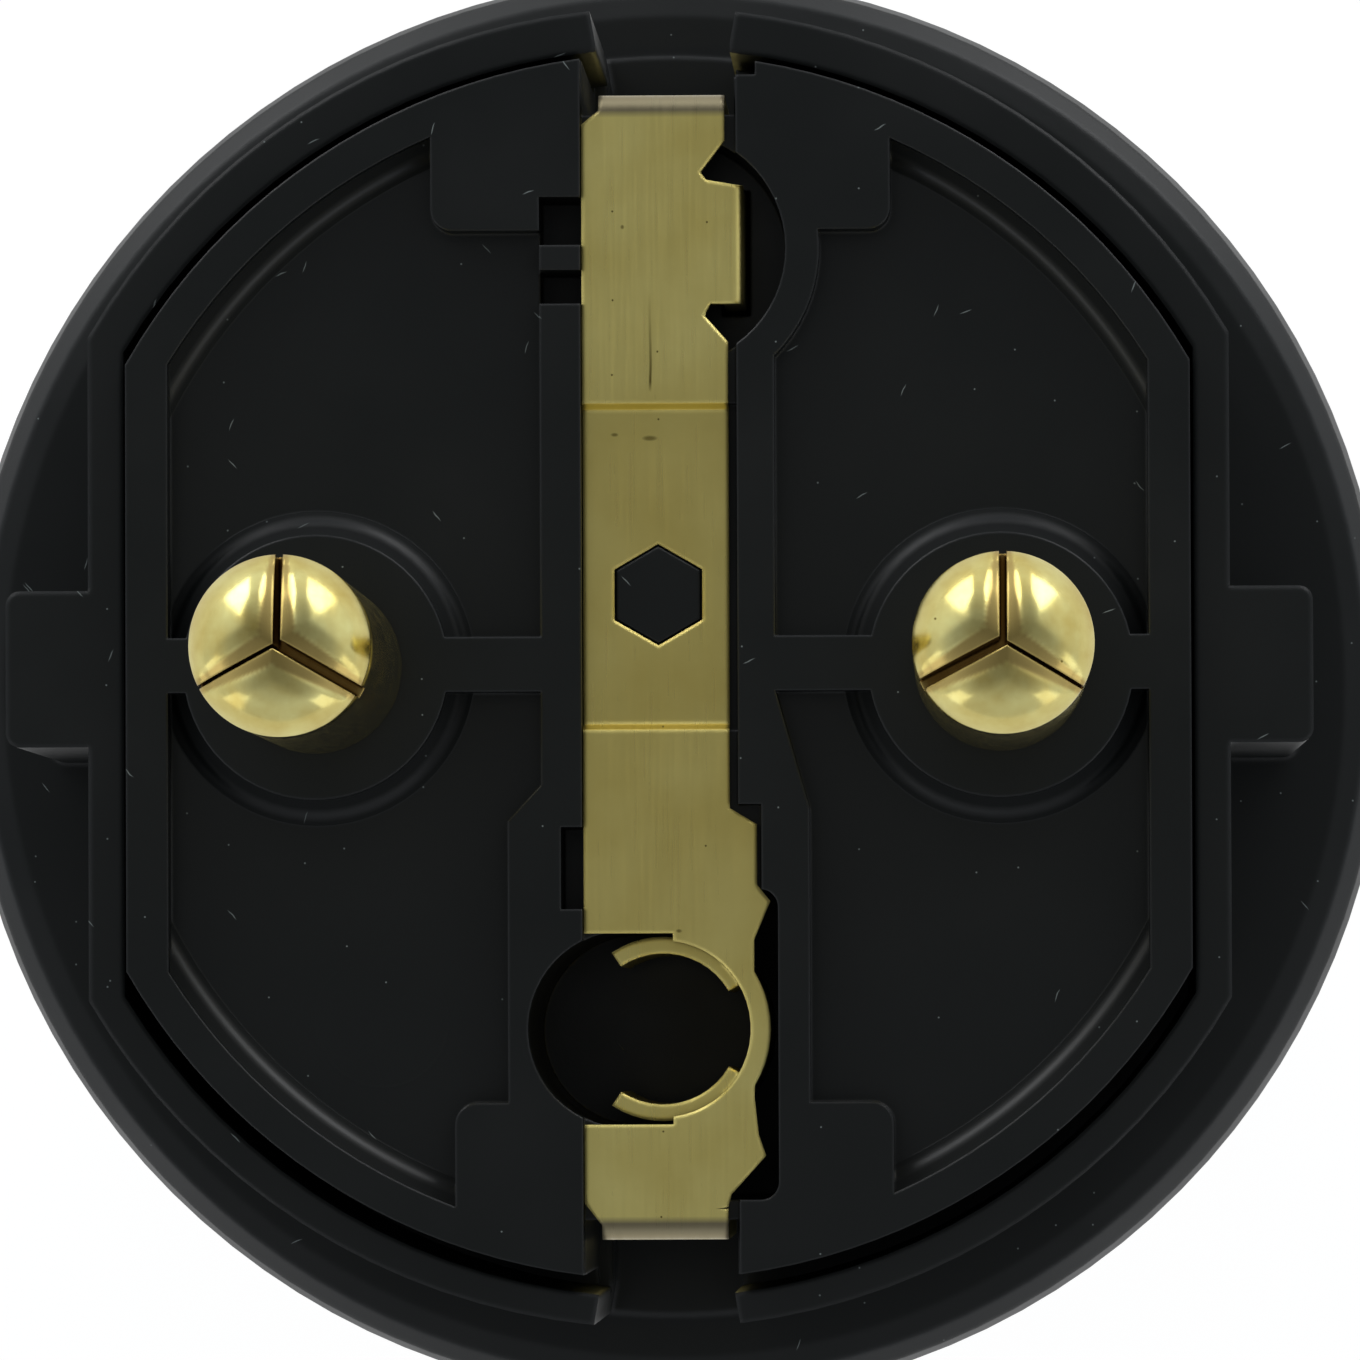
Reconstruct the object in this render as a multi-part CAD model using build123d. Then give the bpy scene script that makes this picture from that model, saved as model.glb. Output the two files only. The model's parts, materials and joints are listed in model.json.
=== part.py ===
from build123d import *
from math import cos, radians, sin
import os

# Body: overall sizes
face_z = 60.0  # pin face above the cord end
flange_depth = 18.0  # flange behind the pin face
flange_dia = 41.8
flange_thick = 3.0
flange_round = 1.3
round_steps = 3  # flat bands that make up the round edge
block_dia = 36.72  # front block that enters the socket
block_flats = 31.74  # across the two flats
rim_drop = 0.8  # rim below the pin face
rim_wall = 1.0
grip_dia = 36.4
neck_dia = 23.0
neck_len = 13.5
inlet_dia = 10.5

# Guide ribs on the flats
guide_width = 4.35
guide_reach = 36.34  # across both ribs
guide_round = 0.4

# Ribs of the grip
rib_count = 10
rib_angle = 19.0  # width of a rib seen along the plug's axis
rib_slope = 3.0  # width of each sloped side, measured likewise
rib_height = 1.2

# Channels for the socket's earth springs
channel_width = 4.25  # in the insert
channel_shift = 0.03
mouth_inner = 3.75  # in the rim, from its inside to its outside
mouth_outer = 4.1
mouth_shift = 0.17

# Contact insert
insert_thick = 14.0
insert_gap = 0.32  # round side to the rim
insert_shift = 0.15  # the insert sits this much towards +Y
insert_flat_gap = 0.1
lip_dia = 35.2  # retaining lip in the body's groove
lip_thick = 1.5
lip_gap = 0.1
lip_flat = 0.4
pocket_depth = 1.2
pocket_span = 27.2  # across the outer pocket walls
pocket_arc_dia = 32.0
pocket_side = 3.25  # pocket walls beside the strip
web_top = 0.82
web_bottom = 0.7
tab_inner = 12.1  # inner edge of the four lands at the pocket corners
tab_right = 6.48
tab_upper_left = 6.27
tab_lower_left = 5.66
tab_round = 0.6
foot_run = 0.7  # sloped foot of the round pocket walls
foot_rise = 0.6
collar_dia = 7.36
notch_side = 0.6  # square notch beside the upper channel

# Pins
pin_pitch = 19.0
pin_dia = 4.8
pin_reach = 19.0
pin_shank_dia = 4.4  # inside the insert, the carrier and the terminal
pin_hollow_dia = 3.6
pin_seat = 3.4  # length of the tail inside the terminal
pin_clearance = 0.03
seam_width = 0.2
seam_shoulder = 0.4  # sloped edge on each side of a seam
seam_drop = 0.22
seam_spread = 0.5  # how much one leg opens and its neighbour closes
seam_len = 1.2  # run of the seams down the side

# Earth strip
strip_sheet = 0.55
strip_drop = 0.3  # strip below the pin face
strip_width = 4.06
strip_shift = -0.06
strip_reach = 31.8  # across both side contacts
strip_round = 0.55
contact_width = 3.5
contact_shift = 0.14
contact_len = 12.6
strip_top = 15.05  # ends of the strip's full width
strip_low = -14.66
joggle_top = 7.13
joggle_bottom = -1.59
joggle_drop = 0.5
joggle_run = 0.18
trough_gap = 0.12
shelf_edge = 2.85  # right edge of the trough beside the bulges

# Ear and tail of the strip
ear_top = 13.33
ear_bottom = 10.06
ear_edge = 2.41
ear_root = 1.39
ear_round = 0.3  # outside of the fold
tail_past = 0.4  # tail's end past the wire's axis
tail_gap = 0.12
recess_dia = 6.54
recess_land = 8.4  # land around the recess
recess_x = 0.31
recess_y = 11.59
recess_depth = 4.0

# Female earth contact
socket_x = 0.08
socket_y = -10.06
socket_bore = 4.2
socket_sheet = 0.46
finger_drop = 1.3
finger_end = 11.0
finger_root = 30.0  # angle where the fingers leave the band
finger_open = 112.0  # opening angle towards -X
band_bore = 4.9
band_angle = 96.0
socket_gap = 5.3  # height of the strip's opening over the well
bulge_edge = 2.63  # right edge of the strip round the contact
well_dia = 5.48
well_x = -0.9
well_right = 3.3
well_top = -6.2
well_bottom = -14.8
well_round = 0.5
well_floor = 1.5

# Windows beside the strip
window_edge = -3.26
window_depth = 3.0
window_high = 1.34  # the upper window, up to the ear's top
window_bar = 0.69  # bar between the two upper windows
window_low = 2.28  # the lower window, beside the strip
window_low_top = -4.46

# Hexagonal post
post_y = 2.0
post_flats = 2.32
post_gap = 0.06

# Rear carrier
carrier_sides = 8
carrier_dia = 28.4  # across the corners
carrier_thick = 3.0
carrier_gap = 0.2
stem_width = 9.0
tongue_width = 15.0
tongue_past = 2.0  # tongue's end past the clamp
tongue_foot = 5.5
tongue_gap = 0.7
tongue_top = 0.8

# Terminals
block_side = 7.0
wire_side = 2.6
wire_wall = 0.5  # brass between the pin's tail and the wire's hole
screw_dia = 3.0
screw_len = 2.8
slot_width = 0.8
slot_depth = 0.7
earth_block_width = 4.6
earth_block_height = 4.5

# Cord clamp
cord_dia = 6.4
clamp_len = 5.0
clamp_gap = 6.0  # from the terminals to the clamp
clamp_thick = 2.2
clamp_pitch = 11.0
clamp_screw_dia = 2.5
clamp_head_dia = 4.2
clamp_head = 1.5
nut_side = 4.0
nut_thick = 1.6
nut_gap = 0.1

# Carrier screws and rivet
fix_dia = 2.5
fix_head_dia = 4.4
fix_head = 1.5
fix_x = 6.5
fix_y = 8.5
fix_end = 7.5
rivet_dia = 1.6
rivet_head_dia = 3.2
rivet_head = 0.8
rivet_bite = 1.6  # how far the rivet reaches into the earth terminal
rivet_gap = 0.3  # from the rivet's head to the carrier

# Room behind the screws, and the overshoot of every cut
room = 1.0
over = 1.0

# Worked-out sizes
back = insert_thick
plate_back = back + carrier_thick
pin_tail = plate_back + pin_seat
wire_depth = pin_tail + wire_wall + wire_side / 2
tail_depth = wire_depth + tail_past
block_back = wire_depth + screw_len
clamp_at = block_back + clamp_gap + clamp_len / 2
tongue_end = clamp_at + clamp_len / 2 + tongue_past
room_end = block_back + fix_head + room
cavity_dia = block_dia - 2 * rim_wall
cavity_flats = block_flats - 2 * rim_wall
insert_dia = cavity_dia - 2 * insert_gap - insert_shift / 2
insert_flats = cavity_flats - 2 * insert_flat_gap
flange_rear = face_z - flange_depth - flange_thick
strip_left = strip_shift - strip_width / 2
strip_right = strip_shift + strip_width / 2
strip_back = strip_drop + strip_sheet
contact_left = contact_shift - contact_width / 2
contact_right = contact_shift + contact_width / 2
ear_inner = ear_edge - strip_sheet
rivet_z = face_z - plate_back - rivet_gap - rivet_head_dia / 2
rivet_grip = strip_sheet + rivet_bite
earth_x = ear_inner - earth_block_width / 2
earth_y = (ear_top + ear_bottom) / 2
fixings = ((-fix_x, fix_y), (fix_x, -fix_y))
sides = (-1, 1)


def between(sketch, top, bottom):
    # Prism of a plan outline between two depths below the pin face
    return Pos(0, 0, face_z - bottom) * extrude(sketch, bottom - top)


def disc(dia, x=0.0, y=0.0):
    return Pos(x, y) * Circle(dia / 2)


def rect(x0, y0, x1, y1):
    return Pos((x0 + x1) / 2, (y0 + y1) / 2) * Rectangle(abs(x1 - x0), abs(y1 - y0))


def polygon(*points):
    return make_face(Polyline(*points, close=True))


def rounded_at(sketch, x, y, radius):
    # Round the corner of a plan outline that lies nearest to a point
    corner = sketch.vertices().sort_by_distance((x, y, 0))[0]
    return fillet(corner, radius)


def flatted(dia, flats, y=0.0):
    # Circle with two flats at its sides
    return disc(dia, 0, y) & Rectangle(flats, 2 * dia)


def across(dia, length):
    # Cylinder along Y from the origin towards -Y
    return Rot(90, 0, 0) * extrude(Circle(dia / 2), length)


def mirrored(plan):
    # A plan outline and its copy on the other side of the X axis
    return plan + mirror(plan, Plane.XZ)


def body_profile():
    # Half section of the neck and the flange with its rounded front edge
    neck = neck_dia / 2
    edge = flange_dia / 2
    front = face_z - flange_depth
    points = [(0, front), (0, 0), (neck, 0), (neck, flange_rear), (edge, flange_rear)]
    for i in range(round_steps + 1):
        angle = radians(90 * i / round_steps)
        points.append((edge - flange_round * (1 - cos(angle)), front - flange_round * (1 - sin(angle))))
    return Plane.XZ * polygon(*points)


def grip_corners(radius, z):
    # Corners of the grip at one height: flat ribs with sloped sides and flat floors between them
    pitch = 360 / rib_count
    floor = radius * (1 - 2 * rib_height / grip_dia)
    half = rib_angle / 2
    corners = ((-half, radius), (half, radius), (half + rib_slope, floor), (pitch - half - rib_slope, floor))
    points = []
    for i in range(rib_count):
        for turn, reach in corners:
            angle = radians(i * pitch + turn)
            points.append((reach * cos(angle), reach * sin(angle), z))
    return points


def grip():
    # The ribbed grip tapers in flat faces from the flange to the neck
    low = grip_corners(neck_dia / 2 + rib_height, neck_len)
    high = grip_corners(grip_dia / 2, flange_rear)
    faces = [polygon(*low), polygon(*high)]
    for i in range(len(low)):
        faces.append(polygon(low[i - 1], low[i], high[i], high[i - 1]))
    return Solid(Shell(faces))


def rim_mouths():
    # The two openings of the rim for the earth springs, wider at the outside
    wall = cavity_dia / 2
    outside = block_dia / 2
    left = mouth_shift - mouth_inner / 2
    right = mouth_shift + mouth_inner / 2
    lead = (mouth_outer - mouth_inner) / 2
    floor = strip_reach / 2 - strip_sheet
    plan = polygon(
        (left, floor), (left, wall), (left - lead, outside), (left - lead, flange_dia),
        (right + lead, flange_dia), (right + lead, outside), (right, wall), (right, floor),
    )
    return between(mirrored(plan), -over, flange_depth - over)


def outer_body():
    solid = revolve(body_profile(), Axis.Z) + grip()
    guides = RectangleRounded(guide_reach, guide_width, guide_round)
    block = flatted(block_dia, block_flats) + guides
    solid += between(block, rim_drop, flange_depth)
    # Room for the insert, its lip, the carrier, the tongue with the cord clamp, and the cord
    clamp_top = cord_dia / 2 + clamp_thick
    tongue_room = rect(
        -tongue_width / 2 - tongue_gap, -tongue_foot - tongue_gap, tongue_width / 2 + tongue_gap, clamp_top + tongue_gap
    )
    solid -= between(flatted(cavity_dia, cavity_flats, -insert_shift), 0, back)
    lip_room = flatted(lip_dia + 2 * lip_gap, insert_flats + lip_flat + 2 * lip_gap)
    solid -= between(lip_room, back - lip_thick, back)
    solid -= between(disc(carrier_dia + 2 * carrier_gap), back, room_end)
    solid -= between(tongue_room, block_back, tongue_end + room)
    solid -= extrude(disc(inlet_dia), face_z - tongue_end)
    return solid - rim_mouths()


def pockets():
    # Plan outlines of the four shallow pockets beside the lands, the webs and the trough
    far = pocket_arc_dia
    edge = pocket_side
    lower_edge = tab_lower_edge()
    upper_left = rect(-edge, web_top, -far, tab_inner) + rect(-tab_upper_left, web_top, -far, far)
    upper_left = rounded_at(upper_left, -tab_upper_left, tab_inner, tab_round)
    upper_right = rect(edge, web_top, far, tab_inner) + rect(tab_right, web_top, far, far)
    upper_right = rounded_at(upper_right, tab_right, tab_inner, tab_round)
    upper_right -= disc(recess_land, recess_x, recess_y)
    lower_left = polygon(
        (-edge, -web_bottom), (-edge, joggle_bottom - 1.7), (-lower_edge, joggle_bottom - 2.7),
        (-lower_edge, -tab_inner), (-tab_lower_left, -tab_inner), (-tab_lower_left, -far), (-far, -far),
        (-far, -web_bottom),
    )
    lower_left = rounded_at(lower_left, -tab_lower_left, -tab_inner, tab_round)
    lower_right = polygon(
        (edge, -web_bottom), (lower_edge, joggle_bottom - 2.35), (lower_edge, -tab_inner),
        (tab_right, -tab_inner), (tab_right, -far), (far, -far), (far, -web_bottom),
    )
    lower_right = rounded_at(lower_right, tab_right, -tab_inner, tab_round)
    inside = flatted(pocket_arc_dia, pocket_span)
    return [outline & inside for outline in (upper_left, upper_right, lower_left, lower_right)]


def tab_lower_edge():
    # Land beside the well
    return well_right + 0.88


def foot(radius, side, x=0.0):
    # Sloped foot where a pocket's floor meets a round wall: side 1 runs outwards, -1 inwards
    plan = polygon((radius, 0), (radius, foot_rise), (radius + side * foot_run, 0))
    return Pos(x, 0, face_z - pocket_depth) * revolve(Plane.XZ * plan, Axis.Z)


def well_outline():
    # Well of the female contact: round to the left, a slot to the right of the strip
    half = well_dia / 2
    slot = rect(well_x, socket_y - half, well_right, socket_y + half)
    side = rect(strip_right - 0.6, well_bottom, well_right, well_top)
    side = fillet(side.vertices(), well_round)
    return disc(well_dia, well_x, socket_y) + slot + side


def strip_windows():
    # The narrow windows beside the strip: two above, one below
    bar_top = ear_top - window_high - strip_drop
    upper = rect(window_edge, bar_top, strip_left, bar_top + window_high)
    middle = rect(window_edge, ear_bottom, strip_left, bar_top - window_bar)
    edge = window_edge + strip_sheet
    return upper + middle + rect(edge, window_low_top - window_low, strip_left, window_low_top)


def trough_outline():
    left = strip_left - trough_gap / 4
    right = strip_right + 2 * trough_gap
    end = strip_reach / 2 + over
    shelf = rect(right - over / 2, well_top - over / 2, shelf_edge, joggle_bottom - 2.25)
    return rect(left, -end, right, end) + shelf


def hexagon(flats):
    return Pos(0, post_y) * RegularPolygon(flats / 2, 6, major_radius=False, rotation=30)


def insert_channels():
    # Open ends of the insert, where the side contacts run down
    left = channel_shift - channel_width / 2
    right = channel_shift + channel_width / 2
    return mirrored(rect(left, strip_reach / 2 - strip_sheet, right, block_dia))


def contact_insert():
    solid = between(flatted(insert_dia, insert_flats), 0, back)
    solid += between(flatted(lip_dia, insert_flats + lip_flat), back - lip_thick + lip_gap, back)
    feet = foot(pocket_arc_dia / 2, -1)
    for side in sides:
        collar = disc(collar_dia, side * pin_pitch / 2)
        feet += foot(collar_dia / 2, 1, side * pin_pitch / 2) + between(collar, 0, pocket_depth)
    for outline in pockets():
        solid -= between(outline, -over, pocket_depth) - feet
    for side in sides:
        hole = disc(pin_shank_dia + 2 * pin_clearance, side * pin_pitch / 2)
        solid -= between(hole, -over, back + over)
    # The strip lies in the trough, one step deeper in the middle
    trough = trough_outline()
    solid -= between(trough, -over, strip_back)
    middle = trough & rect(-block_dia, joggle_bottom - joggle_run, block_dia, joggle_top + joggle_run)
    solid -= between(middle, -over, strip_back + joggle_drop)
    solid -= between(insert_channels(), -over, back + over)
    notch_x = channel_shift + channel_width / 2
    notch_y = insert_dia / 2
    solid -= between(rect(0, notch_y - notch_side, notch_x + notch_side, notch_y), -over, recess_depth)
    recess = disc(recess_dia, recess_x, recess_y) & rect(strip_left, 0, block_dia, block_dia)
    solid -= between(recess, -over, recess_depth)
    solid -= between(tail_outline(tail_gap), -over, back + over)
    solid -= between(well_outline(), -over, back - well_floor)
    solid -= between(strip_windows(), -over, window_depth)
    solid += between(hexagon(post_flats), strip_drop + joggle_drop, strip_back + joggle_drop + over / 2)
    for x, y in fixings:
        solid -= between(disc(fix_dia, x, y), fix_end, back + over)
    return solid


def pin_profile():
    # Half section of a hollow pin: shank, shoulder on the pin face and round tip
    r = pin_dia / 2
    shank = pin_shank_dia / 2
    hollow = pin_hollow_dia / 2
    tip = face_z + pin_reach
    centre = tip - r
    tail = face_z - pin_tail
    outside = Polyline((hollow, tail), (shank, tail), (shank, face_z), (r, face_z), (r, centre))
    dome = RadiusArc((r, centre), (0, tip), -r)
    inside = Polyline((0, tip), (0, centre), (hollow, centre), (hollow, tail))
    return Plane.XZ * make_face(outside + dome + inside)


def seam(angle, width):
    # One leg of the folded seam: sloped shoulders over the dome and a slit through the wall
    r = pin_dia / 2
    open_half = seam_shoulder * (seam_drop + over) / seam_drop
    shoulders = polygon((r - seam_drop, 0), (r + over, open_half), (r + over, -open_half))
    groove = revolve(shoulders, Axis.Y, -90) + Pos(0, 0, -seam_len) * extrude(shoulders, seam_len)
    slit = Box(r, width, r + seam_len, align=(Align.MIN, Align.CENTER, Align.MIN))
    return Rot(0, 0, angle) * (groove + Pos(0, 0, -seam_len) * slit)


def pin(side):
    solid = revolve(pin_profile(), Axis.Z)
    legs = ((90, 1.0), (207, 1.0 + side * seam_spread), (330, 1.0 - side * seam_spread))
    for angle, opening in legs:
        cutter = seam(angle, seam_width * opening)
        solid -= Pos(0, 0, face_z + pin_reach - pin_dia / 2) * cutter
    return Pos(side * pin_pitch / 2, 0, 0) * solid


def strip_bulge():
    # The right edge swells around the female contact, with a small cusp above it
    return polygon(
        (0, strip_low), (strip_right, strip_low), (2.94, -13.58), (2.74, -13.0), (bulge_edge, -12.0),
        (bulge_edge, -7.6), (3.08, -6.53), (2.72, -6.08), (2.72, -4.4), (strip_right, -3.95), (0, -3.95),
    )


def strip_ear():
    # Ear of the earth lug, with a short neck at its lower edge
    return polygon(
        (0, 8.5), (strip_right, 8.5), (strip_right, 9.0), (1.33, 9.72), (ear_root, 9.9), (1.5, ear_bottom),
        (ear_edge, ear_bottom), (ear_edge, ear_top), (ear_root, 13.5), (1.22, 13.72), (contact_right, 14.6),
        (contact_right, strip_top + 0.4), (0, strip_top + 0.4),
    )


def strip_plan():
    # Plan outline of the flat strip: contacts, strip with chamfered corners, bulge and ear
    end = strip_reach / 2 + over
    outline = mirrored(rect(contact_left, strip_top, contact_right, end))
    outline += polygon(
        (contact_left, strip_top + 0.4), (strip_left, strip_top), (strip_left, -14.88), (contact_left, -15.5),
        (contact_right, -15.0), (strip_right, strip_low), (strip_right, 8.5), (0, 8.5), (0, strip_top + 0.4),
    )
    outline += strip_bulge() + strip_ear()
    open_half = socket_gap / 2
    window = rect(-block_side, socket_y - open_half, socket_x + 0.3, socket_y + open_half)
    return outline - window - disc(band_bore, socket_x, socket_y)


def strip_side():
    # Side view of the bent sheet: contact, flat, step, flat, contact
    top = face_z - strip_drop
    low = top - joggle_drop
    end = face_z - contact_len
    y = strip_reach / 2
    t = strip_sheet
    inner = strip_round - t
    points = [
        (-y, end), (-y, top), (joggle_bottom - joggle_run, top), (joggle_bottom, low),
        (joggle_top, low), (joggle_top + joggle_run, top), (y, top), (y, end), (y - t, end),
        (y - t, top - t), (joggle_top + joggle_run, top - t), (joggle_top, low - t),
        (joggle_bottom, low - t), (joggle_bottom - joggle_run, top - t), (t - y, top - t), (t - y, end),
    ]
    bends = [0, strip_round, 0, 0, 0, 0, strip_round, 0, 0, inner, 0, 0, 0, 0, inner, 0]
    line = FilletPolyline(*points, radius=bends, close=True)
    return make_face(Plane.YZ * line)


def tail_outline(gap=0.0):
    return rect(ear_inner - gap, ear_bottom - gap, ear_edge + gap, ear_top + gap)


def strip_tail():
    # The ear folds down and runs back to the earth terminal
    top = face_z - strip_drop
    low = face_z - tail_depth
    root = ear_root - 0.09
    points = [
        (root, top), (ear_edge, top), (ear_edge, low), (ear_inner, low), (ear_inner, top - strip_sheet),
        (root, top - strip_sheet),
    ]
    line = FilletPolyline(*points, radius=[0, ear_round, 0, 0, 0, 0], close=True)
    side = make_face(Plane.XZ * line)
    return Pos(0, ear_top, 0) * extrude(side, ear_top - ear_bottom, dir=(0, -1, 0))


def sector(inner, outer, start, end):
    # Ring sector in plan, from one angle to the other
    reach = 3 * outer
    steps = 4
    fan = [(0, 0)]
    for i in range(steps + 1):
        angle = radians(start + (end - start) * i / steps)
        fan.append((reach * cos(angle), reach * sin(angle)))
    return Pos(socket_x, socket_y) * ((Circle(outer) - Circle(inner)) & polygon(*fan))


def female_contact():
    # C-shaped spring: a band at the strip's level and two fingers in the well
    half = band_angle / 2
    band = sector(band_bore / 2, band_bore / 2 + strip_sheet, -half, half)
    shape = between(band, strip_drop, finger_end)
    inner = socket_bore / 2
    for side in sides:
        ends = sorted((side * finger_root, side * (180 - finger_open / 2)))
        shape += between(sector(inner, inner + socket_sheet, *ends), finger_drop, finger_end)
    return shape


def rivet_place():
    return Pos(ear_edge, earth_y, rivet_z) * Rot(0, -90, 0)


def earth_strip():
    width = 2 * (ear_edge + 1.5)
    sheet = Pos(-width / 2, 0, 0) * extrude(strip_side(), width, dir=(1, 0, 0))
    solid = sheet & between(strip_plan(), strip_drop - over, contact_len + over)
    solid -= between(hexagon(post_flats + 2 * post_gap), -over, recess_depth)
    solid = solid - between(tail_outline(), strip_drop - over, tail_depth) + strip_tail()
    solid += female_contact()
    return solid - rivet_place() * extrude(Circle(rivet_dia / 2), 2 * strip_sheet)


def rear_carrier():
    plate = RegularPolygon(carrier_dia / 2, carrier_sides, rotation=180 / carrier_sides)
    solid = between(plate, back, plate_back)
    tongue = rect(-tongue_width / 2, -tongue_foot, tongue_width / 2, tongue_top)
    stem = rect(-stem_width / 2, -tongue_foot, stem_width / 2, tongue_top)
    start = block_back + fix_head + room / 2
    solid += between(stem, plate_back, start)
    solid += between(tongue, start, tongue_end)
    # Trough of the cord, open to the upper side
    groove = disc(cord_dia) + rect(-cord_dia / 2, 0, cord_dia / 2, cord_dia)
    solid -= between(groove, start, tongue_end + over)
    for side in sides:
        hole = disc(pin_shank_dia + 2 * pin_clearance, side * pin_pitch / 2)
        solid -= between(hole, back - over, plate_back + over)
        place = Pos(side * clamp_pitch / 2, 0, face_z - clamp_at)
        solid -= place * Pos(0, tongue_top, 0) * across(clamp_screw_dia, 2 * tongue_foot)
        solid -= place * Pos(0, -tongue_foot, 0) * nut_block(nut_gap)
    for x, y in fixings:
        solid -= between(disc(fix_dia, x, y), back - over, plate_back + over)
    return solid - between(tail_outline(tail_gap), back - over, plate_back + over)


def nut_block(gap=0.0):
    # Square nut, its outer face at the origin and the gap on its other sides
    side = nut_side + 2 * gap
    return Box(side, nut_thick + gap, side, align=(Align.CENTER, Align.MIN, Align.CENTER))


def slotted(solid, dia, top):
    # Cut a screwdriver slot across the top of a screw
    slot = Box(2 * dia, slot_width, slot_depth, align=(Align.CENTER, Align.CENTER, Align.MAX))
    return solid - Pos(0, 0, top) * slot


def headed_screw(dia, head_dia, head, length):
    # Slotted screw, the head's seat at the origin and the shank towards -Z
    solid = extrude(Circle(head_dia / 2), head)
    solid += Pos(0, 0, -length) * extrude(Circle(dia / 2), length)
    return slotted(solid, head_dia, head)


def terminal_screw(x, y):
    # Headless slotted screw, flush with the block's back, its end on the wire's axis
    solid = slotted(extrude(Circle(screw_dia / 2), screw_len), screw_dia, screw_len)
    return Pos(x, y, face_z - wire_depth) * Rot(180, 0, 0) * solid


def carrier_screw(x, y):
    # Driven from behind, its head on the carrier's plate
    screw = headed_screw(fix_dia, fix_head_dia, fix_head, plate_back - fix_end)
    return Pos(x, y, face_z - plate_back) * Rot(180, 0, 0) * screw


def wire_opening(x, y):
    # Square opening across a terminal
    return Pos(x, y, face_z - wire_depth) * Box(wire_side, 2 * block_side, wire_side)


def terminal(side):
    # Brass block on the pin's tail, with a square opening for the wire
    x = side * pin_pitch / 2
    plan = Pos(x, 0) * Rectangle(block_side, block_side)
    solid = between(plan, plate_back, block_back)
    solid -= between(disc(pin_shank_dia, x), plate_back - over, pin_tail)
    solid -= between(disc(screw_dia, x), wire_depth, block_back + over)
    return solid - wire_opening(x, 0)


def terminal_earth():
    # Brass block against the inner face of the strip's tail
    plan = Pos(earth_x, earth_y) * Rectangle(earth_block_width, earth_block_height)
    solid = between(plan, plate_back, block_back)
    solid -= between(disc(screw_dia, earth_x, earth_y), wire_depth, block_back + over)
    solid -= wire_opening(earth_x, earth_y)
    return solid - rivet_place() * extrude(Circle(rivet_dia / 2), rivet_grip)


def earth_rivet():
    solid = Pos(0, 0, -rivet_head) * extrude(Circle(rivet_head_dia / 2), rivet_head)
    return rivet_place() * (solid + extrude(Circle(rivet_dia / 2), rivet_grip))


def clamp_bar():
    # Arched saddle over the cord with a foot on each side
    half = tongue_width / 2
    seat = tongue_top + clamp_thick
    arch = Circle(cord_dia / 2 + clamp_thick) & rect(-half, tongue_top, half, cord_dia)
    plan = arch + rect(-half, tongue_top, half, seat) - Circle(cord_dia / 2)
    solid = between(plan, clamp_at - clamp_len / 2, clamp_at + clamp_len / 2)
    width = clamp_head_dia + 4 * nut_gap
    flat = Box(width, 2 * clamp_thick, 2 * clamp_len, align=(Align.CENTER, Align.MIN, Align.CENTER))
    for side in sides:
        place = Pos(side * clamp_pitch / 2, seat, face_z - clamp_at)
        solid -= place * Pos(0, over, 0) * across(clamp_screw_dia, 3 * clamp_thick)
        solid -= place * flat
    return solid


def clamp_screw(side):
    length = clamp_thick + tongue_top + tongue_foot - 0.4
    screw = headed_screw(clamp_screw_dia, clamp_head_dia, clamp_head, length)
    return Pos(side * clamp_pitch / 2, tongue_top + clamp_thick, face_z - clamp_at) * Rot(-90, 0, 0) * screw


def clamp_nut(side):
    place = Pos(side * clamp_pitch / 2, 0, face_z - clamp_at)
    hole = place * Pos(0, tongue_foot, 0) * across(clamp_screw_dia, 3 * tongue_foot)
    return place * Pos(0, nut_gap - tongue_foot, 0) * nut_block() - hole


def build():
    pieces = {
        "outer_body": outer_body(),
        "contact_insert": contact_insert(),
        "earth_strip": earth_strip(),
        "rear_carrier": rear_carrier(),
        "terminal_earth": terminal_earth(),
        "earth_rivet": earth_rivet(),
        "cord_clamp_bar": clamp_bar(),
    }
    for name, side in (("left", -1), ("right", 1)):
        pieces["pin_" + name] = pin(side)
        pieces["terminal_" + name] = terminal(side)
        pieces["terminal_screw_" + name] = terminal_screw(side * pin_pitch / 2, 0)
        pieces["clamp_screw_" + name] = clamp_screw(side)
        pieces["clamp_nut_" + name] = clamp_nut(side)
    pieces["terminal_screw_earth"] = terminal_screw(earth_x, earth_y)
    for name, place in zip(("upper", "lower"), fixings):
        pieces["carrier_screw_" + name] = carrier_screw(*place)
    return pieces


os.makedirs("parts", exist_ok=True)
for name, shape in build().items():
    export_step(shape, "parts/" + name + ".step")
    print(name, round(shape.volume, 1))
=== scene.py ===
import bmesh
import bpy
import json
import math
from mathutils import Matrix, Vector


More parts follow.
